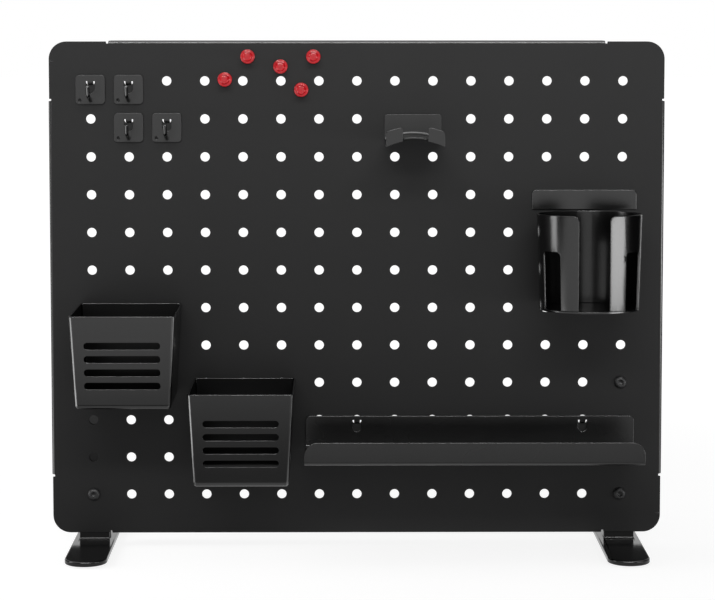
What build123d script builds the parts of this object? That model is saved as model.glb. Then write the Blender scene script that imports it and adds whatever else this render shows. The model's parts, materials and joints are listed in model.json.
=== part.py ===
"""Pegboard desk organizer: a folded steel panel on two feet, with hang-in accessories and magnet pins.

Millimetres, +Z up. The origin is on the desk, under the middle of the panel's front face.
The viewer stands on the -Y side, and +X is to the viewer's right.
"""

import os
from math import atan2, cos, degrees, radians, sin

from build123d import *

os.makedirs("parts", exist_ok=True)

# Peg grid
pitch = 31.0
columns = 15
rows = 12
peg_hole_d = 7.7

# Panel: one sheet with rounded corners, its four edges folded back between relief notches
sheet = 1.5
edge_margin_x = 33.9
edge_margin_z = 32.1
panel_corner_r = 14.4
flange_depth = 22.0
flange_inset = 48.6
flange_bend_r = 2.3
flange_proud = 0.6
flange_tip_r = 4.0
notch_width = 1.8

# Feet: a flat base plate with an upright welded on, bolted behind the panel
pad_d = 20.0
pad_t = 1.5
base_width = 34.0
base_t = 4.0
base_front_reach = 82.0
base_edge_r = 1.2
upright_width = 24.8
upright_t = 4.0
upright_tip = 13.0
upright_corner_r = 4.0
weld_r = 1.2
panel_gap = 5.6
foot_rows = (8, 11)
pad_inset = 8.5

# Button-head screws, metric size 6
screw_d = 5.9
tapped_d = 6.0
screw_length = 8.0
screw_head_d = 10.5
screw_head_h = 3.3
screw_crown_d = 5.6
socket_flats = 4.0
socket_depth = 2.0

# Tabs that hang every accessory in the peg holes
tab_width = 4.9
tab_t = 1.5
tab_underside = -2.8
tab_drop = 4.0
tab_gap = 0.3
tab_bend_r = 1.25
tab_tip_r = 2.2
hang_gap = 0.2
window_width = 7.2
window_height = 9.6
window_top = -0.1

# Small hooks
hook_spots = [(0, 0), (1, 0), (1, 1), (2, 1)]
hook_plate_size = 24.0
hook_plate_top = 5.0
hook_corner_r = 3.3
hook_hole_d = 2.5
hook_hole_at = (-8.5, -8.6)
hook_wire_d = 3.1
hook_root_z = -15.9
hook_elbow_z = -11.6
hook_elbow_reach = 19.0
hook_tip_z = -3.6
hook_tip_reach = 24.0
hook_elbow_r = 5.0
hook_tip_r = 0.8

# Bins
bin_spots = {"upper_bin": (1, 6), "lower_bin": (4, 8)}
bin_width = 83.5
bin_depth = 84.5
bin_height = 74.7
bin_rim_z = 3.9
bin_draw_in = 4.05
bin_fold_r = 2.8
bin_bend_r = 4.5
bin_lean = 0.2
bin_off_centre = 0.7
bin_wall = 1.2
bin_rim_r = 0.5
bin_slot_length = 60.0
bin_slot_height = 5.4
bin_first_slot = 23.6
bin_slot_step = 10.65
bin_slots = 4

# Headphone rest
rest_column = 8.5
rest_row = 1
rest_width = 46.5
rest_plate_top = 3.9
rest_corner_r = 2.6
rest_off_centre = -0.75
rest_crown_z = -12.5
rest_arch_r = 53.5
rest_reach = 70.0
rest_root_r = 2.5
rest_ear_h = 9.85
rest_ear_gap = 20.0
rest_ear_fold_r = 0.5
rest_gap_setback = 22.0
rest_gap_corner_r = 4.5
rest_ear_inner_r = 2.0
rest_ear_outer_r = 3.2
rest_edge_r = 0.45

# Cup holder
cup_column = 13
cup_row = 3
cup_plate_width = 85.7
cup_plate_top = 4.1
cup_plate_bottom = -12.2
cup_plate_corner_r = 3.4
cup_neck_width = 14.0
cup_neck_t = 0.8
cup_neck_bottom = -16.0
cup_rim_z = -13.0
cup_lean = 1.5
cup_height = 77.0
cup_rim_r = 42.25
cup_foot_r = 40.0
cup_gap_width = 24.4
cup_gap_corner_r = 4.5
cup_window_angles = (40.0, 67.0)
cup_window_top = 29.3
cup_window_corner_r = 3.5

# Pen shelf
shelf_columns = (7, 13)
shelf_row = 9
shelf_length = 270.7
shelf_top = 3.3
shelf_floor = -23.6
shelf_depth = 78.0
shelf_lip_h = 18.6
shelf_bend_r = 1.6
shelf_plate_corner_r = 4.0
shelf_lip_corner_r = 10.7

# Magnet pins, placed by column and row of the peg grid
pin_spots = [(3.53, -0.04), (4.13, -0.64), (4.99, -0.38), (5.855, -0.64), (5.535, 0.23)]
pin_base_d = 11.7
pin_base_h = 2.9
pin_base_edge_r = 0.7
pin_waist_d = 5.6
pin_waist_at = 6.2
pin_knob_d = 7.4
pin_knob_at = 10.4
pin_height = 12.2
pin_knob_edge_r = 1.4
pin_dimple_d = 2.4
pin_dimple_depth = 0.35
pin_magnet_d = 8.0
pin_magnet_h = 3.0
pin_gap = 0.1

# Sizes that follow from the ones above
panel_width = (columns - 1) * pitch + 2 * edge_margin_x
panel_height = (rows - 1) * pitch + 2 * edge_margin_z
base_top = pad_t + base_t
panel_mid_z = base_top + panel_gap + panel_height / 2
front_reach = hang_gap + bin_depth
notch_depth = flange_bend_r - flange_proud
plate_front = hang_gap + sheet


def column_x(column):
    return (column - (columns - 1) / 2) * pitch


def row_z(row):
    return panel_mid_z + ((rows - 1) / 2 - row) * pitch


def save(piece, name):
    piece.part.label = name
    export_step(piece.part, f"parts/{name}.step")


def facing_plane(x, z, depth=0.0):
    """An upright plane that faces the viewer, a depth in front of the panel's face."""
    return Plane(origin=(x, -depth, z), x_dir=(1, 0, 0), z_dir=(0, -1, 0))


def folded_flange(length):
    """A flange folded back from an edge at z = 0, run along X."""
    with BuildPart() as flange:
        with BuildSketch(Plane.YZ):
            with BuildLine():
                FilletPolyline(
                    (sheet / 2, -notch_depth),
                    (sheet / 2, flange_proud - sheet / 2),
                    (flange_depth, flange_proud - sheet / 2),
                    radius=flange_bend_r - sheet / 2,
                )
            trace(line_width=sheet)
        extrude(amount=length / 2, both=True)
        fillet(flange.edges().filter_by(Axis.Z).group_by(Axis.Y)[-1], radius=flange_tip_r)
    return flange.part


def peg_tab(lanced):
    """A tab for a peg hole centred on the origin: through the hole, then down behind the panel."""
    mid_y = -hang_gap - sheet / 2
    through_z = tab_underside + tab_t / 2
    leg_y = sheet + tab_gap + tab_t / 2
    root = [(mid_y, window_top + tab_t / 2), (mid_y, through_z)] if lanced else [(mid_y, through_z)]
    with BuildPart() as tab:
        with BuildSketch(Plane.YZ):
            with BuildLine():
                FilletPolyline(
                    *root,
                    (leg_y, through_z),
                    (leg_y, tab_underside - tab_drop),
                    radius=tab_bend_r,
                )
            trace(line_width=tab_t)
        extrude(amount=tab_width / 2, both=True)
        fillet(tab.edges().filter_by(Axis.Y).group_by(Axis.Z)[0], radius=tab_tip_r)
    return tab.part


welded_tab = peg_tab(lanced=False)
lanced_tab = peg_tab(lanced=True)

# The opening that a lanced tab leaves in its plate
with BuildSketch() as tab_window:
    with Locations((0, window_top)):
        Rectangle(
            window_width, window_height - window_width / 2, align=(Align.CENTER, Align.MAX)
        )
    with Locations((0, window_top - window_height + window_width / 2)):
        Circle(window_width / 2)

# Panel
top_flange = folded_flange(panel_width - 2 * flange_inset)
side_flange = folded_flange(panel_height - 2 * flange_inset)

with BuildPart() as panel:
    with BuildSketch(facing_plane(0, panel_mid_z)):
        RectangleRounded(panel_width, panel_height, panel_corner_r)
        with Locations((0, panel_height / 2), (0, -panel_height / 2)):
            Rectangle(
                panel_width - 2 * (flange_inset - notch_width), 2 * notch_depth, mode=Mode.SUBTRACT
            )
        with Locations((panel_width / 2, 0), (-panel_width / 2, 0)):
            Rectangle(
                2 * notch_depth, panel_height - 2 * (flange_inset - notch_width), mode=Mode.SUBTRACT
            )
        with GridLocations(pitch, pitch, columns, rows):
            Circle(peg_hole_d / 2, mode=Mode.SUBTRACT)
    extrude(amount=-sheet)
    with Locations(
        Location((0, 0, panel_mid_z + panel_height / 2)),
        Location((0, 0, panel_mid_z - panel_height / 2), (0, 180, 0)),
    ):
        add(top_flange)
    with Locations(
        Location((panel_width / 2, 0, panel_mid_z), (0, 90, 0)),
        Location((-panel_width / 2, 0, panel_mid_z), (0, -90, 0)),
    ):
        add(side_flange)
save(panel, "pegboard_panel")

# Feet, their pads and screws
upright_top = row_z(foot_rows[0]) + upright_tip
base_mid_y = (front_reach - base_front_reach) / 2
pad_reach = (front_reach + base_front_reach - base_width) / 2 - pad_inset

for side, foot_x in (("left", column_x(0)), ("right", column_x(columns - 1))):
    with BuildPart() as foot:
        with BuildSketch(Plane.XY.offset(pad_t)):
            with Locations((foot_x, base_mid_y)):
                SlotOverall(front_reach + base_front_reach, base_width, rotation=90)
        extrude(amount=base_t)
        fillet(foot.faces().sort_by(Axis.Z)[-1].edges(), radius=base_edge_r)
        with BuildSketch(facing_plane(foot_x, 0, -sheet)) as upright_outline:
            with Locations((0, base_top)):
                Rectangle(
                    upright_width, upright_top - base_top, align=(Align.CENTER, Align.MIN)
                )
            fillet(upright_outline.vertices().group_by(Axis.Y)[-1], radius=upright_corner_r)
            with Locations(*[(0, row_z(row)) for row in foot_rows]):
                Circle(tapped_d / 2, mode=Mode.SUBTRACT)
        extrude(amount=-upright_t)
        weld_lines = foot.edges().filter_by(Axis.X).filter_by_position(Axis.Z, base_top, base_top)
        fillet(weld_lines.filter_by_position(Axis.Y, sheet, sheet + upright_t), radius=weld_r)
    save(foot, f"{side}_foot")

    with BuildPart() as pads:
        with BuildSketch(Plane.XY):
            with Locations((foot_x, base_mid_y - pad_reach), (foot_x, base_mid_y + pad_reach)):
                Circle(pad_d / 2)
        extrude(amount=pad_t)
    save(pads, f"{side}_foot_pads")

with BuildPart() as screw:
    with BuildSketch(Plane.XY):
        with BuildLine():
            Polyline(
                (screw_crown_d / 2, -screw_head_h),
                (0, -screw_head_h),
                (0, screw_length),
                (screw_d / 2, screw_length),
                (screw_d / 2, 0),
                (screw_head_d / 2, 0),
            )
            TangentArc((screw_head_d / 2, 0), (screw_crown_d / 2, -screw_head_h), tangent=(0, -1))
        make_face()
    revolve(axis=Axis.Y)
    with BuildSketch(facing_plane(0, 0, screw_head_h)):
        RegularPolygon(socket_flats / 2, 6, major_radius=False)
    extrude(amount=-socket_depth, mode=Mode.SUBTRACT)

with BuildPart() as screws:
    for column in (0, columns - 1):
        with Locations(*[(column_x(column), 0, row_z(row)) for row in foot_rows]):
            add(screw.part)
save(screws, "foot_screws")

# Small hooks: a square plate with a lanced tab, and a bent wire welded to its front
hook_mid_z = hook_plate_top - hook_plate_size / 2
hook_rise = (hook_elbow_z - hook_root_z) / (hook_elbow_reach - plate_front)

for number, (column, row) in enumerate(hook_spots, start=1):
    hook_x = column_x(column)
    hook_z = row_z(row)
    with BuildPart() as hook_plate:
        with BuildSketch(facing_plane(hook_x, hook_z, hang_gap)):
            with Locations((0, hook_mid_z)):
                RectangleRounded(hook_plate_size, hook_plate_size, hook_corner_r)
            with Locations((hook_hole_at[0], hook_mid_z + hook_hole_at[1])):
                Circle(hook_hole_d / 2, mode=Mode.SUBTRACT)
            add(tab_window.sketch, mode=Mode.SUBTRACT)
        extrude(amount=sheet)
        with Locations((hook_x, 0, hook_z)):
            add(lanced_tab)
    save(hook_plate, f"hook_{number}_plate")

    with BuildPart() as hook_wire:
        with BuildLine() as wire_path:
            FilletPolyline(
                (hook_x, 0, hook_z + hook_root_z - hook_rise * plate_front),
                (hook_x, -hook_elbow_reach, hook_z + hook_elbow_z),
                (hook_x, -hook_tip_reach, hook_z + hook_tip_z),
                radius=hook_elbow_r,
            )
        with BuildSketch(Plane(origin=wire_path.line @ 0, z_dir=wire_path.line % 0)):
            Circle(hook_wire_d / 2)
        sweep()
        split(bisect_by=facing_plane(hook_x, hook_z, plate_front), keep=Keep.TOP)
        fillet(hook_wire.edges().sort_by(Axis.Z)[-1], radius=hook_tip_r)
    save(hook_wire, f"hook_{number}_wire")

# Bins: folded boxes that narrow towards the bottom, with slots in front
bin_taper = degrees(atan2(bin_draw_in, bin_height))


def tapered_block(inset):
    """The outside of a bin, or the room inside it at an inset. The back of its rim is on the X axis."""
    with BuildPart() as block:
        with BuildSketch(Plane(origin=(0, 0, 0), x_dir=(1, 0, 0), z_dir=(0, 0, -1))):
            with Locations((0, bin_depth / 2)):
                Rectangle(bin_width - 2 * inset, bin_depth - 2 * inset)
        extrude(amount=bin_height - inset, taper=bin_taper)
        rim_edges = block.faces().sort_by(Axis.Z)[-1].edges()
        bottom_edges = block.edges().filter_by(Axis.X) - rim_edges
        fillet(bottom_edges, radius=bin_bend_r - inset)
        sides = block.faces().sort_by(Axis.X)
        rim_edges = block.faces().sort_by(Axis.Z)[-1].edges()
        fillet(sides[0].edges() + sides[-1].edges() - rim_edges, radius=bin_fold_r - inset)
    return block.part


with BuildPart() as slotted_bin:
    add(tapered_block(0))
    add(tapered_block(bin_wall), mode=Mode.SUBTRACT)
    with BuildSketch(facing_plane(0, 0, bin_depth)):
        for slot in range(bin_slots):
            with Locations((0, -bin_first_slot - slot * bin_slot_step)):
                SlotOverall(bin_slot_length, bin_slot_height)
    extrude(amount=-2 * bin_draw_in, mode=Mode.SUBTRACT)
    fillet(slotted_bin.faces().sort_by(Axis.Z)[-1].edges(), radius=bin_rim_r)

for name, (column, row) in bin_spots.items():
    bin_x = column_x(column)
    rim_spot = (bin_x + bin_off_centre, -hang_gap, row_z(row) + bin_rim_z)
    with BuildPart() as bin_box:
        with Locations(Location(rim_spot, (bin_lean, 0, 0))):
            add(slotted_bin.part)
        with Locations(*[(bin_x + step * pitch, 0, row_z(row)) for step in (-1, 1)]):
            add(welded_tab)
    save(bin_box, name)

# Headphone rest: an arched arm with two upturned ears at its front end
rest_x = column_x(rest_column) + rest_off_centre
rest_z = row_z(rest_row)
arch_mid = (0, rest_crown_z - rest_arch_r)
rest_front = hang_gap + rest_reach
ear_back = rest_front - sheet

with BuildPart() as rest:
    with BuildSketch(facing_plane(rest_x, rest_z, hang_gap)) as rest_plate:
        with Locations((0, rest_plate_top)):
            Rectangle(rest_width, rest_width, align=(Align.CENTER, Align.MAX))
        with Locations(arch_mid):
            Circle(rest_arch_r - sheet, mode=Mode.SUBTRACT)
        fillet(rest_plate.vertices().group_by(Axis.Y)[-1], radius=rest_corner_r)
    extrude(amount=sheet)
    with BuildSketch(facing_plane(rest_x, rest_z, hang_gap)):
        with Locations(arch_mid):
            Circle(rest_arch_r)
            Circle(rest_arch_r - sheet, mode=Mode.SUBTRACT)
        with Locations((0, rest_crown_z)):
            Rectangle(rest_width, rest_arch_r, mode=Mode.INTERSECT)
    extrude(amount=rest_reach)
    with BuildSketch(facing_plane(rest_x, rest_z, ear_back)):
        with Locations(arch_mid):
            Circle(rest_arch_r + rest_ear_h)
            Circle(rest_arch_r - sheet, mode=Mode.SUBTRACT)
        with Locations((0, rest_crown_z)):
            Rectangle(rest_width, rest_arch_r, mode=Mode.INTERSECT)
            Rectangle(rest_ear_gap, rest_arch_r, mode=Mode.SUBTRACT)
    extrude(amount=sheet)
    with BuildSketch(Plane.XY.offset(rest_z + rest_crown_z - rest_arch_r)):
        with Locations((rest_x, rest_gap_setback - ear_back)):
            RectangleRounded(
                rest_ear_gap, rest_reach, rest_gap_corner_r, align=(Align.CENTER, Align.MAX)
            )
    extrude(amount=rest_arch_r + rest_ear_h, mode=Mode.SUBTRACT)
    arcs = rest.edges().filter_by(GeomType.CIRCLE)
    crown_arcs = arcs.filter_by(lambda arc: abs(arc.radius - rest_arch_r) < 0.01)
    under_arcs = arcs.filter_by(lambda arc: abs(arc.radius - rest_arch_r + sheet) < 0.01)
    ear_folds = crown_arcs.filter_by_position(Axis.Y, -ear_back - 0.1, -ear_back + 0.1)
    root_fold = crown_arcs.filter_by_position(Axis.Y, -plate_front - 0.1, -plate_front + 0.1)
    ear_outside = under_arcs.filter_by_position(Axis.Y, -rest_front - 0.1, -rest_front + 0.1)
    root_outside = under_arcs.filter_by_position(Axis.Y, -hang_gap - 0.1, -hang_gap + 0.1)
    fillet(ear_folds + ear_outside, radius=rest_ear_fold_r)
    fillet(root_fold, radius=rest_root_r)
    fillet(root_outside, radius=rest_root_r + sheet)
    ear_edges = rest.edges().filter_by(Axis.Y).filter_by_position(Axis.Y, -rest_front, -ear_back)
    ear_corners = ear_edges.group_by(Axis.Z)
    fillet(ear_corners[-1], radius=rest_ear_inner_r)
    fillet(ear_corners[-2], radius=rest_ear_outer_r)
    ear_top_r = rest_arch_r + rest_ear_h
    arcs = rest.edges().filter_by(GeomType.CIRCLE)
    fillet(arcs.filter_by(lambda arc: abs(arc.radius - ear_top_r) < 0.01), radius=rest_edge_r)
    rest_holes = [column_x(rest_column + step / 2) for step in (-1, 1)]
    with Locations(*[(hole_x, 0, rest_z) for hole_x in rest_holes]):
        add(welded_tab)
save(rest, "headphone_rest")

# Cup holder: a round tapered sleeve on a round base, leaning back a little under its plate
cup_x = column_x(cup_column)
cup_z = row_z(cup_row)
cup_spot = Location((cup_x, -hang_gap, cup_z + cup_rim_z), (-cup_lean, 0, 0))
sleeve_height = cup_height - sheet

with BuildPart() as sleeve:
    with Locations((0, -cup_rim_r, -sleeve_height)):
        standing = (Align.CENTER, Align.CENTER, Align.MIN)
        Cone(cup_foot_r, cup_rim_r, sleeve_height, align=standing)
        Cone(
            cup_foot_r - sheet, cup_rim_r - sheet, sleeve_height, align=standing, mode=Mode.SUBTRACT
        )
    with BuildSketch(facing_plane(0, 0, cup_rim_r)):
        with BuildLine():
            half_gap = cup_gap_width / 2
            left_side = Line((-half_gap, -cup_gap_corner_r), (-half_gap, -cup_height))
            right_side = Line((half_gap, -cup_height), (half_gap, -cup_gap_corner_r))
            Line(left_side @ 1, right_side @ 0)
            lip_end = half_gap + cup_gap_corner_r
            left_lip = TangentArc(left_side @ 0, (-lip_end, 0), tangent=(0, 1))
            right_lip = TangentArc(right_side @ 1, (lip_end, 0), tangent=(0, 1))
            Line(left_lip @ 1, right_lip @ 1)
        make_face()
    extrude(amount=2 * cup_rim_r, mode=Mode.SUBTRACT)
    with BuildSketch(Plane(origin=(0, -cup_rim_r, -sleeve_height))):
        for side in (-1, 1):
            with BuildLine():
                reach = 2 * cup_rim_r
                near, far = [
                    (side * reach * sin(radians(angle)), -reach * cos(radians(angle)))
                    for angle in cup_window_angles
                ]
                Polyline((0, 0), near, far, close=True)
            make_face()
    extrude(amount=sleeve_height - cup_window_top, mode=Mode.SUBTRACT)
    window_corners = sleeve.edges().filter_by(GeomType.LINE).filter_by_position(
        Axis.Z, -cup_window_top - 0.1, -cup_window_top + 0.1
    )
    fillet(window_corners, radius=cup_window_corner_r)

with BuildPart() as cup_sleeve:
    with BuildSketch(facing_plane(cup_x, cup_z, hang_gap)) as cup_plate:
        with Locations((0, cup_plate_top)):
            Rectangle(
                cup_plate_width, cup_plate_top - cup_plate_bottom, align=(Align.CENTER, Align.MAX)
            )
        fillet(cup_plate.vertices().group_by(Axis.Y)[-1], radius=cup_plate_corner_r)
    extrude(amount=sheet)
    with BuildSketch(facing_plane(cup_x, cup_z, hang_gap)):
        with Locations((0, cup_neck_bottom)):
            Rectangle(cup_neck_width, -cup_neck_bottom, align=(Align.CENTER, Align.MIN))
    extrude(amount=cup_neck_t)
    with Locations(cup_spot):
        add(sleeve.part)
    with Locations(*[(cup_x + step * pitch, 0, cup_z) for step in (-1, 1)]):
        add(welded_tab)
save(cup_sleeve, "cup_sleeve")

with BuildPart() as base_disc:
    with BuildSketch(Plane(origin=(0, -cup_rim_r, -cup_height))):
        Circle(cup_foot_r)
    extrude(amount=sheet)

with BuildPart() as cup_base:
    with Locations(cup_spot):
        add(base_disc.part)
save(cup_base, "cup_base")

# Pen shelf: a folded trough with a rounded front lip
shelf_x = (column_x(shelf_columns[0]) + column_x(shelf_columns[1])) / 2
shelf_z = row_z(shelf_row)
shelf_back_y = -hang_gap - sheet / 2
shelf_front_y = -hang_gap - shelf_depth + sheet / 2
shelf_mid_z = shelf_z + shelf_floor + sheet / 2
shelf_lip_z = shelf_z + shelf_floor + shelf_lip_h

with BuildPart() as shelf:
    with BuildSketch(Plane.YZ.offset(shelf_x)):
        with BuildLine():
            FilletPolyline(
                (shelf_back_y, shelf_z + shelf_top),
                (shelf_back_y, shelf_mid_z),
                (shelf_front_y, shelf_mid_z),
                (shelf_front_y, shelf_lip_z),
                radius=shelf_bend_r + sheet / 2,
            )
        trace(line_width=sheet)
    extrude(amount=shelf_length / 2, both=True)
    sheet_ends = shelf.edges().filter_by(Axis.Y)
    lip_corners = sheet_ends.filter_by_position(Axis.Z, shelf_lip_z - 0.1, shelf_lip_z + 0.1)
    plate_corners = sheet_ends.group_by(Axis.Z)[-1]
    fillet(lip_corners, radius=shelf_lip_corner_r)
    fillet(plate_corners, radius=shelf_plate_corner_r)
    for column in shelf_columns:
        with BuildSketch(facing_plane(column_x(column), shelf_z, hang_gap)):
            add(tab_window.sketch)
        extrude(amount=sheet, mode=Mode.SUBTRACT)
    with Locations(*[(column_x(column), 0, shelf_z) for column in shelf_columns]):
        add(lanced_tab)
save(shelf, "pen_shelf")

# Magnet pins: a turned plastic cap over a disc magnet
pin_foot_y = -pin_gap
pin_top_y = -pin_gap - pin_height

with BuildPart() as pin_cap:
    with BuildSketch(Plane.XY) as pin_profile:
        with BuildLine():
            Polyline(
                (0, pin_top_y + pin_dimple_depth),
                (0, pin_foot_y - pin_magnet_h),
                (pin_magnet_d / 2, pin_foot_y - pin_magnet_h),
                (pin_magnet_d / 2, pin_foot_y),
                (pin_base_d / 2, pin_foot_y),
                (pin_base_d / 2, pin_foot_y - pin_base_h),
            )
            ThreePointArc(
                (pin_base_d / 2, pin_foot_y - pin_base_h),
                (pin_waist_d / 2, pin_foot_y - pin_waist_at),
                (pin_knob_d / 2, pin_foot_y - pin_knob_at),
            )
            Polyline(
                (pin_knob_d / 2, pin_foot_y - pin_knob_at),
                (pin_knob_d / 2, pin_top_y),
                (pin_dimple_d / 2, pin_top_y),
                (0, pin_top_y + pin_dimple_depth),
            )
        make_face()
        knob_rim = pin_profile.vertices().sort_by_distance((pin_knob_d / 2, pin_top_y))[0]
        base_rim = pin_profile.vertices().sort_by_distance((pin_base_d / 2, pin_foot_y - pin_base_h))[0]
        fillet(knob_rim, radius=pin_knob_edge_r)
        fillet(base_rim, radius=pin_base_edge_r)
    revolve(axis=Axis.Y)

with BuildPart() as pin_magnet:
    with BuildSketch(facing_plane(0, 0, pin_gap)):
        Circle(pin_magnet_d / 2)
    extrude(amount=pin_magnet_h)

for number, (column, row) in enumerate(pin_spots, start=1):
    for piece, name in ((pin_cap, f"pin_{number}_cap"), (pin_magnet, f"pin_{number}_magnet")):
        with BuildPart() as placed:
            with Locations((column_x(column), 0, row_z(row))):
                add(piece.part)
        save(placed, name)
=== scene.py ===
import json
import math

import bmesh
import bpy
from mathutils import Matrix, Vector

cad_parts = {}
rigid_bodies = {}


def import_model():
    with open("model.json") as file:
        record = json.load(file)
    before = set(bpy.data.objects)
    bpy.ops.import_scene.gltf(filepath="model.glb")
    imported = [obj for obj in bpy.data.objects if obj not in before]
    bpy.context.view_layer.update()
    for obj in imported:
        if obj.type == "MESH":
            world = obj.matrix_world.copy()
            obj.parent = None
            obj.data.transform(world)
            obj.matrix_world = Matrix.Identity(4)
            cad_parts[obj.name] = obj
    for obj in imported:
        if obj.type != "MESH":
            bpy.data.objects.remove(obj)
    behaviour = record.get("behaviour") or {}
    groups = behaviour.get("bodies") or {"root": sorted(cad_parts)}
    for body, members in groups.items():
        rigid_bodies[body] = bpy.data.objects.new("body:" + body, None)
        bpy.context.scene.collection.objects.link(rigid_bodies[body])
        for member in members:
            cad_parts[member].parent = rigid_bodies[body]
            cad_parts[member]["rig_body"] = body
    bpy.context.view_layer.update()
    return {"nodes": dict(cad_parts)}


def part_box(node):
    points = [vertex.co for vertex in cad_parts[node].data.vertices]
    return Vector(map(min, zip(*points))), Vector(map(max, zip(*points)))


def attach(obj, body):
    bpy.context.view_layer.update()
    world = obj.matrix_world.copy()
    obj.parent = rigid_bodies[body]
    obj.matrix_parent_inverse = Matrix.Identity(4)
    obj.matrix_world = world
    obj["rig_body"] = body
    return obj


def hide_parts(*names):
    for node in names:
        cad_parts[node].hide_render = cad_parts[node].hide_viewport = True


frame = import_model()
nodes = frame["nodes"]
mm = 0.001
print(f"frame loaded with {len(nodes)} nodes")


# node trees: maths as Python expressions, every other node through one method
class Socket:
    def __init__(self, maker, socket):
        self.maker = maker
        self.socket = socket

    def maths(self, operation, first, second):
        return self.maker.node("ShaderNodeMath", {"operation": operation}, {0: first, 1: second})

    def __add__(self, other):
        return self.maths("ADD", self, other)

    def __sub__(self, other):
        return self.maths("SUBTRACT", self, other)

    def __rsub__(self, other):
        return self.maths("SUBTRACT", other, self)

    def __mul__(self, other):
        return self.maths("MULTIPLY", self, other)

    __radd__ = __add__
    __rmul__ = __mul__


class NodeMaker:
    def __init__(self, tree):
        self.tree = tree
        tree.nodes.clear()

    def node(self, kind, settings=None, inputs=None, out=0):
        made = self.tree.nodes.new(kind)
        for name, value in (settings or {}).items():
            setattr(made, name, value)
        for name, value in (inputs or {}).items():
            if isinstance(value, Socket):
                self.tree.links.new(value.socket, made.inputs[name])
            else:
                made.inputs[name].default_value = value
        return Socket(self, made.outputs[out]) if made.outputs else made

    def mixColour(self, factor, first, second):
        settings = {"data_type": "RGBA"}
        return self.node("ShaderNodeMix", settings, {0: factor, 6: first, 7: second}, out=2)

    def place(self):
        return self.node("ShaderNodeTexCoord", out="Object")

    def noise(self, scale, detail, stretch=(1, 1, 1)):
        spot = self.node("ShaderNodeMapping", {}, {0: self.place(), "Scale": stretch})
        return self.node(
            "ShaderNodeTexNoise", {}, {"Vector": spot, "Scale": scale, "Detail": detail}
        )

    def fit(self, value, low, high, toLow, toHigh):
        settings = {"interpolation_type": "SMOOTHSTEP"}
        return self.node(
            "ShaderNodeMapRange", settings, {0: value, 1: low, 2: high, 3: toLow, 4: toHigh}
        )

    def bump(self, strength, depth, height):
        sockets = {"Strength": strength, "Distance": depth, "Height": height}
        return self.node("ShaderNodeBump", {}, sockets)

    def principled(self, sockets):
        shader = self.node("ShaderNodeBsdfPrincipled", {}, sockets)
        self.node("ShaderNodeOutputMaterial", {}, {"Surface": shader})


def startMaterial(name):
    material = bpy.data.materials.new(name)
    material.use_nodes = True
    return material, NodeMaker(material.node_tree)


def grey(level, blue=1.03):
    return (level, level, level * blue, 1.0)


coatLooks = {  # painted steel: two near blacks, gloss, and the orange peel of the coat
    "powderCoat": {
        "dark": 0.0044, "light": 0.0060, "rough": 0.50, "roughSpread": 0.05, "shine": 0.228,
        "peelScale": 1500.0, "peelDepth": 0.00003, "peelStrength": 0.30,
    },
    "satinCoat": {
        "dark": 0.0015, "light": 0.0023, "rough": 0.20, "roughSpread": 0.03, "shine": 0.5,
        "peelScale": 900.0, "peelDepth": 0.00002, "peelStrength": 0.08,
    },
    "plateCoat": {
        "dark": 0.0015, "light": 0.0023, "rough": 0.39, "roughSpread": 0.04, "shine": 0.45,
        "peelScale": 1200.0, "peelDepth": 0.00002, "peelStrength": 0.15,
    },
    "shelfCoat": {
        "dark": 0.0015, "light": 0.0023, "rough": 0.27, "roughSpread": 0.04, "shine": 0.5,
        "peelScale": 1000.0, "peelDepth": 0.00002, "peelStrength": 0.12,
    },
    "shadedInsideCoat": {  # a darker, duller copy of the coat for inside the bins: painted shade
        "dark": 0.0008, "light": 0.0012, "rough": 0.30, "roughSpread": 0.03, "shine": 0.14,
        "peelScale": 900.0, "peelDepth": 0.00002, "peelStrength": 0.08,
    },
    "bendCoat": {  # the coat flows smoother round a bend
        "dark": 0.0015, "light": 0.0023, "rough": 0.17, "roughSpread": 0.03, "shine": 1.0,
        "peelScale": 900.0, "peelDepth": 0.00002, "peelStrength": 0.06,
    },
    "wireEnamel": {
        "dark": 0.0006, "light": 0.0010, "rough": 0.13, "roughSpread": 0.03, "shine": 0.70,
        "peelScale": 420.0, "peelDepth": 0.00001, "peelStrength": 0.05,
    },
    "glossEnamel": {
        "dark": 0.0004, "light": 0.0008, "rough": 0.15, "roughSpread": 0.03, "shine": 0.38,
        "peelScale": 420.0, "peelDepth": 0.00002, "peelStrength": 0.08,
    },
}
coatGrain = {  # the same on all coats; a noise is its scale and detail
    "cloud": (22.0, 4.0), "speck": (2600.0, 1.0), "speckShare": 0.25, "shadeSpan": (0.3, 0.7),
    "handled": (9.0, 3.0), "peelDetail": 2.0, "refraction": 1.5,
}


def makeCoat(name):
    look, grain = coatLooks[name], coatGrain
    material, maker = startMaterial(name)
    cloud, speck = maker.noise(*grain["cloud"]), maker.noise(*grain["speck"])
    mixed = cloud * (1 - grain["speckShare"]) + speck * grain["speckShare"]
    shade = maker.fit(mixed, *grain["shadeSpan"], 0.0, 1.0)
    handled = maker.noise(*grain["handled"])
    peel = maker.noise(look["peelScale"], grain["peelDetail"])
    maker.principled({
        "Base Color": maker.mixColour(shade, grey(look["dark"]), grey(look["light"])),
        "Roughness": look["rough"] + (handled - 0.5) * (2 * look["roughSpread"]),
        "Normal": maker.bump(look["peelStrength"], look["peelDepth"], peel),
        "IOR": grain["refraction"],
        "Specular IOR Level": look["shine"],
    })
    return material


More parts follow.
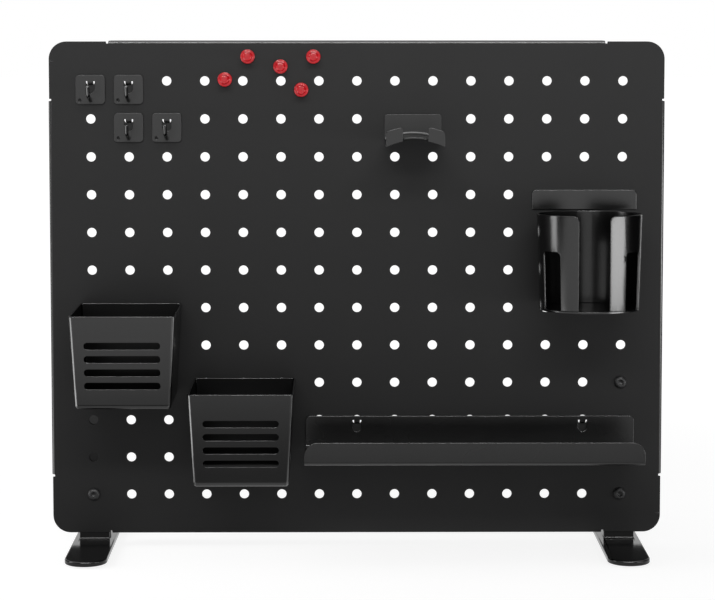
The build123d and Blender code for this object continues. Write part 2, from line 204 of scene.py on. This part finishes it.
otherLooks = {  # a noise each for tint, gloss and relief: scale, detail and stretch
    "blackOxide": {
        "tint": (900.0, 4.0), "colours": (grey(0.010), grey(0.020)),
        "polish": (900.0, 4.0), "rough": 0.42, "roughSpread": 0.12,
        "relief": (900.0, 4.0), "reliefStrength": 0.2, "reliefDepth": 0.00002,
        "fixed": {"Metallic": 0.35},
    },
    "padRubber": {
        "tint": (60.0, 3.0), "colours": (grey(0.014), grey(0.024, 0.98)),
        "polish": (1800.0, 3.0), "rough": 0.72, "roughSpread": 0.18,
        "relief": (1800.0, 3.0), "reliefStrength": 0.5, "reliefDepth": 0.00008,
        "fixed": {},
    },
    "redPlastic": {
        "tint": (180.0, 3.0), "colours": ((0.72, 0.004, 0.012, 1.0), (0.84, 0.007, 0.020, 1.0)),
        "polish": (180.0, 3.0), "rough": 0.10, "roughSpread": 0.08,
        "relief": (700.0, 1.0), "reliefStrength": 0.08, "reliefDepth": 0.00003,
        "fixed": {"IOR": 1.5, "Specular IOR Level": 0.42},
    },
    "magnetNickel": {  # smooth, so it has no relief
        "tint": (500.0, 3.0, (1.0, 6.0, 1.0)),
        "colours": ((0.52, 0.51, 0.49, 1.0), (0.66, 0.65, 0.63, 1.0)),
        "polish": (500.0, 3.0, (1.0, 6.0, 1.0)), "rough": 0.22, "roughSpread": 0.16,
        "fixed": {"Metallic": 1.0},
    },
}


def makeFinish(name):
    look = otherLooks[name]
    material, maker = startMaterial(name)
    sockets = dict(look["fixed"])
    sockets["Base Color"] = maker.mixColour(maker.noise(*look["tint"]), *look["colours"])
    sockets["Roughness"] = look["rough"] + maker.noise(*look["polish"]) * look["roughSpread"]
    if "relief" in look:
        relief = maker.noise(*look["relief"])
        sockets["Normal"] = maker.bump(look["reliefStrength"], look["reliefDepth"], relief)
    maker.principled(sockets)
    return material


powderCoat = makeCoat("powderCoat")
satinCoat = makeCoat("satinCoat")
plateCoat = makeCoat("plateCoat")
shelfCoat = makeCoat("shelfCoat")
shadedInsideCoat = makeCoat("shadedInsideCoat")
bendCoat = makeCoat("bendCoat")
glossEnamel = makeCoat("glossEnamel")
wireEnamel = makeCoat("wireEnamel")
blackOxide = makeFinish("blackOxide")
padRubber = makeFinish("padRubber")
redPlastic = makeFinish("redPlastic")
magnetNickel = makeFinish("magnetNickel")
print("finishes made")


def meshFrom(name, work):
    mesh = bpy.data.meshes.new(name)
    work.to_mesh(mesh)
    work.free()
    return mesh


def addObject(name, data):
    thing = bpy.data.objects.new(name, data)
    bpy.context.scene.collection.objects.link(thing)
    return thing


# pieces taken over from the frame, with their sheet edges rounded
edgeLook = {"weld": 0.002 * mm, "flatAngle": 0.2, "sharpAngle": 40.0, "steps": 3, "faceWeight": 80}


def weldedMesh(nodeName):
    work = bmesh.new()
    work.from_mesh(nodes[nodeName].data)
    bmesh.ops.remove_doubles(work, verts=work.verts, dist=edgeLook["weld"])
    flat = math.radians(edgeLook["flatAngle"])
    bmesh.ops.dissolve_limit(work, angle_limit=flat, verts=work.verts, edges=work.edges)
    return work


def newPiece(name, mesh, material):
    for layer in ("custom_normal", "sharp_edge", "sharp_face"):
        if layer in mesh.attributes:
            mesh.attributes.remove(mesh.attributes[layer])
    mesh.materials.clear()
    mesh.materials.append(material)
    mesh.shade_smooth()
    return addObject(name, mesh)


def weighEdges(work, behind):
    # marks the sharp edges behind a depth, for a bevel that leaves those in front of it alone
    weight = work.edges.layers.float.new("bevel_weight_edge")
    sharpAngle = math.radians(edgeLook["sharpAngle"])
    for edge in work.edges:
        middle = (edge.verts[0].co.y + edge.verts[1].co.y) / 2
        sharp = edge.calc_face_angle(0.0) > sharpAngle
        edge[weight] = 1.0 if sharp and middle > behind else 0.0


def roundEdges(piece, width, fromAngle=edgeLook["sharpAngle"], steps=edgeLook["steps"]):
    bevel = piece.modifiers.new("roundEdges", "BEVEL")
    bevel.width = width
    bevel.segments = steps
    weighed = "bevel_weight_edge" in piece.data.attributes
    bevel.limit_method = "WEIGHT" if weighed else "ANGLE"
    bevel.angle_limit = math.radians(fromAngle)
    bevel.use_clamp_overlap = False  # short steps along the curves would hold the whole bevel back
    bevel.loop_slide = False
    level = piece.modifiers.new("flatFaces", "WEIGHTED_NORMAL")
    level.weight = edgeLook["faceWeight"]


def seat(piece, nodeName):
    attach(piece, nodes[nodeName]["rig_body"])
    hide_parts(nodeName)


def takeOver(nodeName, pieceName, material, slot, edge, behind=None):
    work = weldedMesh(nodeName)
    if behind is not None:
        weighEdges(work, behind)
    piece = newPiece(pieceName, meshFrom(pieceName, work), material)
    roundEdges(piece, edge)
    seat(piece, nodeName)
    return piece


binLook = {"rimDepth": 1.0 * mm, "bendTilt": (0.2, 0.95)}  # sideways lean of a bend's normals


def coatBin(piece, nodeName):
    # a darker, duller copy of the coat inside, as painted shade, and a smoother one round the
    # upright bends
    low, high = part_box(nodeName)
    middle = (low + high) / 2
    front = [vertex.co.z for vertex in piece.data.vertices if vertex.co.y < middle.y]
    rim = max(front) - binLook["rimDepth"]
    leastTilt, mostTilt = binLook["bendTilt"]
    piece.data.materials.append(shadedInsideCoat)
    piece.data.materials.append(bendCoat)
    shadedInsideIndex, bendIndex = 1, 2
    for face in piece.data.polygons:
        if face.center.z > rim:
            continue
        # faces that look inward get the darker copy: painted shade inside the bin
        if (face.center - middle).dot(face.normal) < 0:
            face.material_index = shadedInsideIndex
        elif leastTilt < abs(face.normal.x) < mostTilt:
            face.material_index = bendIndex


# piece, finish, slot, how far the coat rounds its edges, and behind what depth only
foldedPieces = {
    "upper_bin": ("upperBin", satinCoat, "black_powder_coat", 0.35 * mm),
    "lower_bin": ("lowerBin", satinCoat, "black_powder_coat", 0.35 * mm),
    "headphone_rest": ("headphoneRest", plateCoat, "black_powder_coat", 0.48 * mm, -50 * mm),
    "cup_sleeve": ("cupSleeve", satinCoat, "satin_black_coat", 0.60 * mm),
    "cup_base": ("cupBase", satinCoat, "satin_black_coat", 0.25 * mm),
    "pen_shelf": ("penShelf", shelfCoat, "black_powder_coat", 0.45 * mm),
    "left_foot": ("leftFoot", glossEnamel, "gloss_black_enamel", 0.60 * mm),
    "right_foot": ("rightFoot", glossEnamel, "gloss_black_enamel", 0.60 * mm),
    "left_foot_pads": ("leftFootPads", padRubber, "black_rubber", 0.30 * mm),
    "right_foot_pads": ("rightFootPads", padRubber, "black_rubber", 0.30 * mm),
}
hookNumbers = range(1, 5)
pinNumbers = range(1, 6)
for number in hookNumbers:
    foldedPieces[f"hook_{number}_plate"] = (
        f"hook{number}Plate", plateCoat, "black_powder_coat", 0.42 * mm,
    )
    foldedPieces[f"hook_{number}_wire"] = (
        f"hook{number}Wire", wireEnamel, "gloss_black_enamel", 0.10 * mm,
    )
for number in pinNumbers:
    foldedPieces[f"pin_{number}_magnet"] = (
        f"pin{number}Magnet", magnetNickel, "magnet_nickel", 0.25 * mm,
    )
for nodeName, look in foldedPieces.items():
    dressed = takeOver(nodeName, *look)
    if nodeName.endswith("_bin"):
        coatBin(dressed, nodeName)
print(f"{len(foldedPieces)} folded and turned pieces dressed")


def newTree(name, sockets):
    tree = bpy.data.node_groups.new(name, "GeometryNodeTree")
    tree.interface.new_socket("Geometry", in_out="INPUT", socket_type="NodeSocketGeometry")
    for label, kind in sockets.items():
        tree.interface.new_socket(label, in_out="INPUT", socket_type=kind)
    tree.interface.new_socket("Geometry", in_out="OUTPUT", socket_type="NodeSocketGeometry")
    return tree


def runTree(name, tree, mesh, values):
    carrier = addObject(name + "Carrier", mesh)
    modifier = carrier.modifiers.new(tree.name, "NODES")
    modifier.node_group = tree
    for item in tree.interface.items_tree:
        if item.in_out == "INPUT" and item.name in values:
            modifier[item.identifier] = values[item.name]
    graph = bpy.context.evaluated_depsgraph_get()
    made = bpy.data.meshes.new_from_object(carrier.evaluated_get(graph), depsgraph=graph)
    bpy.data.objects.remove(carrier)
    made.name = name
    return made


def addRing(work, radius, depth, sides):
    # a ring about Y, whose radius is a number or a function of the angle
    ring = []
    for side in range(sides):
        turn = 2 * math.pi * side / sides
        wide = radius(turn) if callable(radius) else radius
        ring.append(work.verts.new((wide * math.cos(turn), depth, wide * math.sin(turn))))
    return ring


def joinRings(work, rings):
    for first, second in zip(rings, rings[1:]):
        sides = len(first)
        for side in range(sides):
            after = (side + 1) % sides
            work.faces.new((first[side], first[after], second[after], second[side]))


# pegboard sheet: the folded rim comes from the frame, the perforated field from tiles
sheetLook = {
    "columns": 15, "rows": 12, "pitch": 31.0 * mm, "holeRadius": 3.85 * mm,
    "sheet": 1.5 * mm, "holeRoll": 0.12 * mm, "rollSteps": 2, "sides": 32,
    "rimRound": 0.50 * mm, "rimAngle": 55.0, "bendReach": 2.4 * mm,
    "cut": 0.001 * mm, "weld": 0.01 * mm,
}


def perforationTree():
    # fills the frame of a sheet with a grid of holed tiles
    tree = newTree(
        "perforateSheet",
        {
            "Tile": "NodeSocketObject",
            "Columns": "NodeSocketInt",
            "Rows": "NodeSocketInt",
            "Pitch": "NodeSocketFloat",
            "Height": "NodeSocketFloat",
            "Weld": "NodeSocketFloat",
            "Finish": "NodeSocketMaterial",
        },
    )
    maker = NodeMaker(tree)
    given = maker.node("NodeGroupInput").socket.node.outputs
    columns, rows, pitch = (Socket(maker, given[name]) for name in ("Columns", "Rows", "Pitch"))
    grid = maker.node(
        "GeometryNodeMeshGrid",
        {},
        {
            "Size X": (columns - 1) * pitch,
            "Size Y": (rows - 1) * pitch,
            "Vertices X": columns,
            "Vertices Y": rows,
        },
    )
    lift = maker.node("ShaderNodeCombineXYZ", {}, {"Z": Socket(maker, given["Height"])})
    upright = maker.node(
        "GeometryNodeTransform",
        {},
        {"Geometry": grid, "Translation": lift, "Rotation": (math.pi / 2, 0, 0)},
    )
    tile = maker.node(
        "GeometryNodeObjectInfo", {}, {"Object": Socket(maker, given["Tile"])}, "Geometry"
    )
    tiles = maker.node("GeometryNodeInstanceOnPoints", {}, {"Points": upright, "Instance": tile})
    joined = tree.nodes.new("GeometryNodeJoinGeometry")
    tree.links.new(tiles.socket, joined.inputs[0])
    tree.links.new(given["Geometry"], joined.inputs[0])
    solid = maker.node(
        "GeometryNodeRealizeInstances", {}, {0: Socket(maker, joined.outputs[0])}
    )
    welded = maker.node(
        "GeometryNodeMergeByDistance",
        {},
        {"Geometry": solid, "Distance": Socket(maker, given["Weld"])},
    )
    finished = maker.node(
        "GeometryNodeSetMaterial",
        {},
        {"Geometry": welded, "Material": Socket(maker, given["Finish"])},
    )
    maker.node("NodeGroupOutput", {}, {0: finished})
    return tree


def holedTile(look):
    tile = bmesh.new()
    half = look["pitch"] / 2
    sides, steps = look["sides"], look["rollSteps"]
    roll, radius, thick = look["holeRoll"], look["holeRadius"], look["sheet"]
    profile = []
    for step in range(steps + 1):  # front roll, from the face into the hole
        turn = math.pi / 2 * step / steps
        profile.append((radius + roll * (1 - math.sin(turn)), roll * (1 - math.cos(turn))))
    profile += [(wide, thick - deep) for wide, deep in reversed(profile)]
    rings = [addRing(tile, wide, deep, sides) for wide, deep in profile]
    joinRings(tile, rings)
    quarter = sides // 4
    for ring, deep in ((rings[0], 0.0), (rings[-1], thick)):
        corners = [
            tile.verts.new((x * half, deep, z * half))
            for x, z in ((1, 1), (-1, 1), (-1, -1), (1, -1))
        ]
        for place, corner in enumerate(corners):
            start = place * quarter
            for side in range(start, start + quarter):
                tile.faces.new((corner, ring[side], ring[(side + 1) % sides]))
            tile.faces.new((corners[place - 1], ring[start], corner))
    bmesh.ops.recalc_face_normals(tile, faces=tile.faces)
    front = [face for face in tile.faces if face.calc_center_median().y < thick / 4]
    if sum(face.normal.y for face in front) > 0:  # the front has to look along -Y
        bmesh.ops.reverse_faces(tile, faces=tile.faces)
    return addObject("holedTile", meshFrom("holedTile", tile))


def sheetRim(look, height):
    # the panel without its perforated field, cut so that the tiles' corners meet it
    rim = weldedMesh("pegboard_panel")
    pitch = look["pitch"]
    halfWide, halfTall = look["columns"] * pitch / 2, look["rows"] * pitch / 2
    cuts = []
    for count, start, normal in (
        (look["columns"], -halfWide, Vector((1, 0, 0))),
        (look["rows"], height - halfTall, Vector((0, 0, 1))),
    ):
        cuts += [(normal * (start + k * pitch), normal) for k in range(count + 1)]
    for spot, normal in cuts:
        bmesh.ops.bisect_plane(
            rim, geom=rim.verts[:] + rim.edges[:] + rim.faces[:],
            dist=look["cut"], plane_co=spot, plane_no=normal,
        )
    field = []
    for face in rim.faces:
        centre = face.calc_center_median()
        if abs(centre.x) < halfWide and abs(centre.z - height) < halfTall:
            field.append(face)
    bmesh.ops.delete(rim, geom=field, context="FACES")
    return meshFrom("sheetRim", rim)


def coatBends(mesh, low, high, reach):
    # the coat lies smoother over the bends along the top and the sides
    mesh.materials.append(satinCoat)
    satinIndex = 1
    for face in mesh.polygons:
        spot = face.center
        outside = max(spot.z - high.z, abs(spot.x) - high.x) > -reach
        if outside and spot.y < reach and spot.z > low.z + reach:
            face.material_index = satinIndex


panelLow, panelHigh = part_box("pegboard_panel")
fieldHeight = (panelLow.z + panelHigh.z) / 2
tileHelper = holedTile(sheetLook)
sheetMesh = runTree(
    "pegboardSheet",
    perforationTree(),
    sheetRim(sheetLook, fieldHeight),
    {
        "Tile": tileHelper,
        "Columns": sheetLook["columns"],
        "Rows": sheetLook["rows"],
        "Pitch": sheetLook["pitch"],
        "Height": fieldHeight,
        "Weld": sheetLook["weld"],
        "Finish": powderCoat,
    },
)
bpy.data.objects.remove(tileHelper)
pegboardSheet = newPiece("pegboardSheet", sheetMesh, powderCoat)
coatBends(sheetMesh, panelLow, panelHigh, sheetLook["bendReach"])
roundEdges(pegboardSheet, sheetLook["rimRound"], sheetLook["rimAngle"])
seat(pegboardSheet, "pegboard_panel")
print(f"pegboard sheet perforated: {len(sheetMesh.polygons)} faces")

poleWeld = 0.0005 * mm


def turned(rings, sides, closeEnds=True):
    # rings are pairs of radius and depth
    work = bmesh.new()
    made = [addRing(work, radius, depth, sides) for radius, depth in rings]
    joinRings(work, made)
    if closeEnds:
        work.faces.new(made[0])
        work.faces.new(made[-1])
    bmesh.ops.remove_doubles(work, verts=work.verts, dist=poleWeld)
    bmesh.ops.recalc_face_normals(work, faces=work.faces)
    return work


# foot screws: button heads with a hexagon socket, one shape set at four places
screwLook = {
    "head": 5.25 * mm, "height": 3.3 * mm, "crown": 2.8 * mm, "flats": 2.0 * mm,
    "socketDepth": 2.0 * mm, "shank": 2.95 * mm, "length": 8.0 * mm, "sides": 48,
    "brim": 0.2 * mm, "pointChamfer": 0.5 * mm, "domeSteps": 8, "socketMouth": 1.12,
    "drillTip": 0.3 * mm, "drillDepth": 2.5 * mm,
    "edge": 0.12 * mm, "edgeAngle": 35.0, "edgeSteps": 2,
}


def screwMesh(look):
    flats = look["flats"]

    def hexagon(scale):
        sixth = math.pi / 3
        return lambda turn: scale * flats / math.cos((turn + sixth / 2) % sixth - sixth / 2)

    head, height, crown = look["head"], look["height"], look["crown"]
    shank, length, brim = look["shank"], look["length"], look["brim"]
    rings = [(shank - look["pointChamfer"], length), (shank, length - look["pointChamfer"])]
    rings += [(shank, 0.0), (head - brim, 0.0)]
    for step in range(look["domeSteps"] + 1):
        turn = math.pi / 2 * step / look["domeSteps"]
        wide = crown + (head - crown) * math.cos(turn)
        rings.append((wide, -brim - (height - brim) * math.sin(turn)))
    rings += [(hexagon(look["socketMouth"]), -height), (hexagon(1.0), -height + brim)]
    rings += [(hexagon(1.0), -height + look["socketDepth"])]
    rings += [(look["drillTip"], -height + look["drillDepth"])]
    return meshFrom("buttonScrew", turned(rings, look["sides"]))


def screwSpots(look):
    low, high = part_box("foot_screws")
    inset = look["head"]
    work = bmesh.new()
    for x in (low.x + inset, high.x - inset):
        for z in (low.z + inset, high.z - inset):
            work.verts.new((x, 0.0, z))
    return meshFrom("screwSpots", work)


def repeatTree():
    # sets a piece on every point of the mesh that carries the tree
    tree = newTree("setPieces", {"Piece": "NodeSocketObject", "Finish": "NodeSocketMaterial"})
    maker = NodeMaker(tree)
    given = maker.node("NodeGroupInput").socket.node.outputs
    piece = maker.node(
        "GeometryNodeObjectInfo", {}, {"Object": Socket(maker, given["Piece"])}, "Geometry"
    )
    spread = maker.node(
        "GeometryNodeInstanceOnPoints",
        {},
        {"Points": Socket(maker, given["Geometry"]), "Instance": piece},
    )
    solid = maker.node("GeometryNodeRealizeInstances", {}, {0: spread})
    finished = maker.node(
        "GeometryNodeSetMaterial",
        {},
        {"Geometry": solid, "Material": Socket(maker, given["Finish"])},
    )
    maker.node("NodeGroupOutput", {}, {0: finished})
    return tree


screwHelper = addObject("buttonScrew", screwMesh(screwLook))
screwsMesh = runTree(
    "footScrews",
    repeatTree(),
    screwSpots(screwLook),
    {"Piece": screwHelper, "Finish": blackOxide},
)
bpy.data.objects.remove(screwHelper)
footScrews = newPiece("footScrews", screwsMesh, blackOxide)
roundEdges(footScrews, screwLook["edge"], screwLook["edgeAngle"], screwLook["edgeSteps"])
seat(footScrews, "foot_screws")
print("foot screws set")

pinLook = {  # widths are radii, heights start at the panel
    "base": 5.85 * mm, "baseHeight": 2.9 * mm, "chamfer": 0.3 * mm, "pocket": 4.0 * mm,
    "pocketDepth": 3.0 * mm, "edge": 0.7 * mm, "edgeTurn": 80, "edgeSteps": 5,
    "flare": 4.75 * mm, "flareAt": 2.96 * mm, "flareSteps": 8,
    "waist": 2.8 * mm, "waistAt": 6.2 * mm, "swellSteps": 6,
    "knob": 3.7 * mm, "knobAt": 10.0 * mm, "knobRound": 1.4 * mm, "knobSteps": 8,
    "height": 12.2 * mm, "dimple": 1.2 * mm, "dimpleDepth": 0.12 * mm,
    "dimpleShares": ((1.0, 0.0), (0.8, 0.35), (0.4, 1.0), (0.0, 1.0)),  # of radius and depth
    "sides": 56, "seam": 0.08 * mm, "seamAngle": 50.0, "seamSteps": 2,
}


def arcPoints(centre, radius, end, steps):
    points = []
    for step in range(steps + 1):
        turn = math.radians(end * step / steps)
        points.append((centre[0] + radius * math.cos(turn), centre[1] + radius * math.sin(turn)))
    return points


def pinProfile(look):
    base, edge, knob, chamfer = look["base"], look["edge"], look["knob"], look["chamfer"]
    pocket, deep = look["pocket"], look["pocketDepth"]
    top, knobRound = look["height"], look["knobRound"]
    waist, waistAt, knobAt = look["waist"], look["waistAt"], look["knobAt"]
    flare, flareAt = look["flare"], look["flareAt"]
    points = [(0.0, deep), (pocket, deep), (pocket, 0.0), (base - chamfer, 0.0), (base, chamfer)]
    edgeMiddle = (base - edge, look["baseHeight"] - edge)
    points += arcPoints(edgeMiddle, edge, look["edgeTurn"], look["edgeSteps"])
    for step in range(1, look["flareSteps"] + 1):  # hollow flare from the base to the waist
        turn = math.pi / 2 * step / look["flareSteps"]
        wide = waist + (flare - waist) * (1 - math.sin(turn))
        points.append((wide, waistAt + (flareAt - waistAt) * math.cos(turn)))
    for step in range(1, look["swellSteps"] + 1):  # out again to the knob
        share = step / look["swellSteps"]
        swell = (1 - math.cos(share * math.pi)) / 2
        points.append((waist + (knob - waist) * swell, waistAt + (knobAt - waistAt) * share))
    points += arcPoints((knob - knobRound, top - knobRound), knobRound, 90, look["knobSteps"])
    for wideShare, deepShare in look["dimpleShares"]:
        points.append((look["dimple"] * wideShare, top - look["dimpleDepth"] * deepShare))
    return points


for number in pinNumbers:
    nodeName = f"pin_{number}_cap"
    low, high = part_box(nodeName)
    rings = [(wide, high.y - tall) for wide, tall in pinProfile(pinLook)]
    work = turned(rings, pinLook["sides"], closeEnds=False)
    middle = ((low.x + high.x) / 2, 0.0, (low.z + high.z) / 2)
    bmesh.ops.translate(work, verts=work.verts, vec=middle)
    pinCap = newPiece(f"pin{number}Cap", meshFrom(f"pin{number}Cap", work), redPlastic)
    roundEdges(pinCap, pinLook["seam"], pinLook["seamAngle"], pinLook["seamSteps"])
    seat(pinCap, nodeName)
print("magnet pins turned")


# stage: what the camera sees is white paper, what the coats mirror is a studio with dark wedges;
# the floor's glow in reflections carries a painted shadow near the object and a painted pool of
# light before the feet
stageLook = {  # metres; bearings are angles from straight ahead: 0 in front, pi behind
    "floorHalf": 14.0, "dustGrain": (3.0, 2.0), "floorShade": 0.80, "dustShade": 0.816,
    "seenShade": 0.36, "liftNear": 0.85, "liftFar": 0.97, "liftSpan": (0.35, 1.30),
    "ambient": 0.24, "unlit": 0.006, "frontRoom": 0.16, "skyGloss": 2.0, "skyStarts": (0.72, 0.82),
    # the glow in reflections is dimmer near the object, a painted shadow, and brighter in a strip
    # before the feet, a painted pool of light
    "nearGloss": 0.30, "farGloss": 1.34, "nearEdge": -0.28, "farEdge": -0.85,
    "footGlowLevel": 0.78, "footGlowSpan": (-0.24, -0.18), "footGlowEnds": (0.26, 0.32),
    "horizonGloss": 1.00, "horizon": -8.0, "leftGloss": 4.70, "rightGloss": 2.50,
    "sideNear": 0.25, "sideFar": 0.50, "sideFade": (1.00, 1.40), "frontEnds": (0.85, 1.20),
    "sideStarts": (0.85, 1.05), "sideEnds": (1.50, 1.75), "backStarts": (2.42, 2.55),
}


def rayKinds(maker):
    rays = maker.node("ShaderNodeLightPath").socket.node.outputs
    seen = Socket(maker, rays["Is Camera Ray"]) + Socket(maker, rays["Is Transmission Ray"])
    return seen, Socket(maker, rays["Is Glossy Ray"])


def splitAxes(maker, spot):
    parts = maker.node("ShaderNodeSeparateXYZ", {}, {0: spot}).socket.node.outputs
    return [Socket(maker, parts[axis]) for axis in "XYZ"]


def bearings(maker, across, along, look):
    # how far a place counts as ahead, beside or behind, with unlit wedges between
    turn = across.maths("ABSOLUTE", across.maths("ARCTAN2", across, 0 - along), 0.0)
    ahead = maker.fit(turn, *look["frontEnds"], 1.0, 0.0)
    beside = maker.fit(turn, *look["sideStarts"], 0.0, 1.0)
    beside = beside * maker.fit(turn, *look["sideEnds"], 1.0, 0.0)
    behind = maker.fit(turn, *look["backStarts"], 0.0, 1.0)
    return ahead, beside, behind


def makeFloor(look):
    material, maker = startMaterial("paleFloor")
    seen, glossy = rayKinds(maker)
    across, along = splitAxes(maker, maker.place())[:2]
    ahead, beside, behind = bearings(maker, across, along, look)
    # in reflections the floor glows dimmer near the object: a painted shadow of the object
    front = maker.fit(along, look["farEdge"], look["nearEdge"], look["farGloss"], look["nearGloss"])
    front = front + maker.fit(along, look["horizon"], look["farEdge"], look["horizonGloss"], 0.0)
    left = maker.fit(across, -look["sideFar"], -look["sideNear"], look["leftGloss"], 0.0)
    right = maker.fit(across, look["sideNear"], look["sideFar"], 0.0, look["rightGloss"])
    width = across.maths("ABSOLUTE", across, 0.0)
    side = (left + right) * maker.fit(width, *look["sideFade"], 1.0, 0.0)
    footGlow = maker.fit(along, *look["footGlowSpan"], 0.0, look["footGlowLevel"])  # a painted pool of light before the feet, seen only in reflections
    footGlow = footGlow * maker.fit(width, *look["footGlowEnds"], 1.0, 0.0)
    mirrored = ahead * front + footGlow + beside * side + behind + look["unlit"]
    dust = maker.noise(*look["dustGrain"])
    plain, dusty = grey(look["floorShade"], 1.0), grey(look["dustShade"], 1.0)
    tint = maker.mixColour(dust, plain, dusty)
    tint = maker.mixColour(seen, tint, grey(look["seenShade"], 1.0))
    away = across.maths("SQRT", across * across + along * along, 0.0)
    lifted = maker.fit(away, *look["liftSpan"], look["liftNear"], look["liftFar"])
    matt = maker.node("ShaderNodeBsdfDiffuse", {}, {"Color": tint})
    lift = maker.node("ShaderNodeEmission", {}, {"Strength": seen * lifted})
    paper = maker.node("ShaderNodeAddShader", {}, {0: matt, 1: lift})
    sheen = maker.node("ShaderNodeEmission", {}, {"Strength": mirrored})
    surface = maker.node("ShaderNodeMixShader", {}, {0: glossy, 1: paper, 2: sheen})
    maker.node("ShaderNodeOutputMaterial", {}, {"Surface": surface})
    return material


def makeRoom(look):
    world = bpy.data.worlds.new("studio")
    world.use_nodes = True
    maker = NodeMaker(world.node_tree)
    seen, glossy = rayKinds(maker)
    across, along, up = splitAxes(maker, maker.node("ShaderNodeTexCoord", out="Generated"))
    ahead, beside, behind = bearings(maker, across, along, look)
    sky = maker.fit(up, *look["skyStarts"], 0.0, look["skyGloss"])
    mirrored = (ahead + beside) * look["frontRoom"] + behind + sky + look["unlit"]
    level = seen + glossy * mirrored + (1 - seen - glossy) * look["ambient"]
    glow = maker.node("ShaderNodeBackground", {}, {"Color": grey(1.0, 1.0), "Strength": level})
    maker.node("ShaderNodeOutputWorld", {}, {"Surface": glow})
    bpy.context.scene.world = world


def makeStage(look):
    half = look["floorHalf"]
    corners = [(-half, -half, 0), (half, -half, 0), (half, half, 0), (-half, half, 0)]
    mesh = bpy.data.meshes.new("floor")
    mesh.from_pydata(corners, [], [(0, 1, 2, 3)])
    mesh.materials.append(makeFloor(look))
    floor = addObject("floor", mesh)


lampLooks = {  # place, what it faces, size across and up, brightness of its cloth
    "frontBox": {
        "at": (0.0, -3.2, 1.20), "to": (0.0, 0.0, 0.25), "size": (3.4, 1.7), "cloth": 1.0,
    },
    "leftStrip": {
        "at": (-1.36, -0.08, 0.42), "to": (0.1, -0.05, 0.22), "size": (0.40, 1.3), "cloth": 6.5,
    },
    "rightBox": {
        "at": (1.325, -0.737, 0.12), "to": (0.1, -0.05, 0.12), "size": (0.83, 0.24), "cloth": 11.2,
    },
    "topBox": {  # only for the shine along the edges
        "at": (0.0, -2.00, 1.69), "to": (0.0, -0.05, 0.20), "size": (2.3, 0.30), "cloth": 38.0,
        "shineOnly": True,
    },
}


def makeLamp(name, look):
    lamp = bpy.data.lights.new(name, "AREA")
    lamp.shape = "RECTANGLE"
    lamp.size, lamp.size_y = look["size"]
    lamp.energy = look["cloth"] * math.pi * lamp.size * lamp.size_y
    holder = addObject(name, lamp)
    holder.location = look["at"]
    aim = Vector(look["to"]) - Vector(look["at"])
    holder.rotation_euler = aim.to_track_quat("-Z", "Y").to_euler()
    holder.visible_camera = False
    holder.visible_diffuse = not look.get("shineOnly", False)


makeRoom(stageLook)
makeStage(stageLook)
for lampName, lampLook in lampLooks.items():
    makeLamp(lampName, lampLook)
print("stage and lamps set")

cameraLook = {
    "at": (-0.0128, -1.90, 0.4391), "pitch": 4.58, "yaw": -0.40,
    "sensor": 36.0, "lens": 117.3, "rise": -0.14,
}


def makeCamera(look):
    data = bpy.data.cameras.new("photoCamera")
    data.sensor_width = look["sensor"]
    data.lens = look["lens"]
    data.shift_y = look["rise"]
    camera = addObject("photoCamera", data)
    turn = Matrix.Rotation(math.radians(look["yaw"]), 4, "Z")
    tilt = Matrix.Rotation(math.radians(90 - look["pitch"]), 4, "X")
    camera.matrix_world = Matrix.Translation(look["at"]) @ turn @ tilt
    bpy.context.scene.camera = camera


makeCamera(cameraLook)
bpy.context.scene.view_settings.view_transform = "Standard"

bpy.context.view_layer.update()
